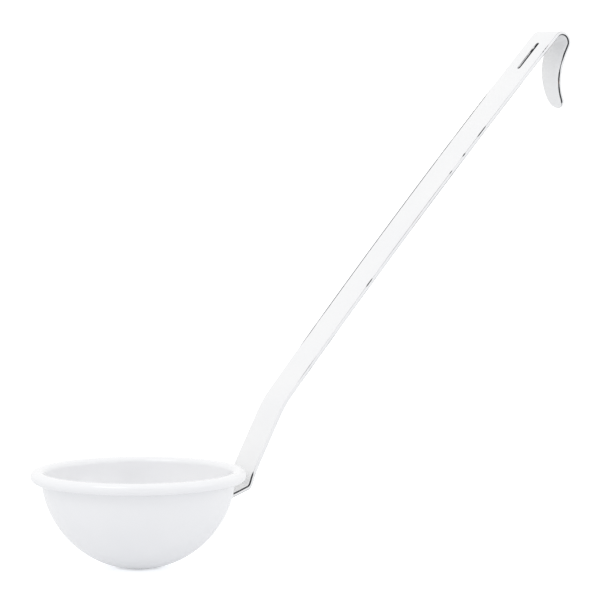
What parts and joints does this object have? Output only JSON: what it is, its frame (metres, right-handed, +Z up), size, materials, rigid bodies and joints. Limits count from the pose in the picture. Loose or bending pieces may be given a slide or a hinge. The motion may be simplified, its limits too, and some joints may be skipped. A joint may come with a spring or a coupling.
{
  "type": "soup ladle",
  "caption": "Soup ladle of white enamelled steel: a round bowl with a rolled rim, and a flat strip handle bent below the rim that ends in a slotted, tapered hook.",
  "frame": {"origin": "centre of the small flat that the bowl stands on", "axes": "+Z up, out of the bowl's mouth. +X from the bowl toward the handle. +Y across the handle. The XZ plane is the plane of symmetry."},
  "size_m": [0.2977, 0.0998, 0.248],
  "materials": {
    "enamel_bowl": "gloss",
    "enamel_handle": "gloss",
    "weld_steel": "satin"
  },
  "bodies": {
    "root": {"bowl": "enamel_bowl", "handle": "enamel_handle", "weld_upper": "weld_steel", "weld_lower": "weld_steel"}
  },
  "joints": []
}
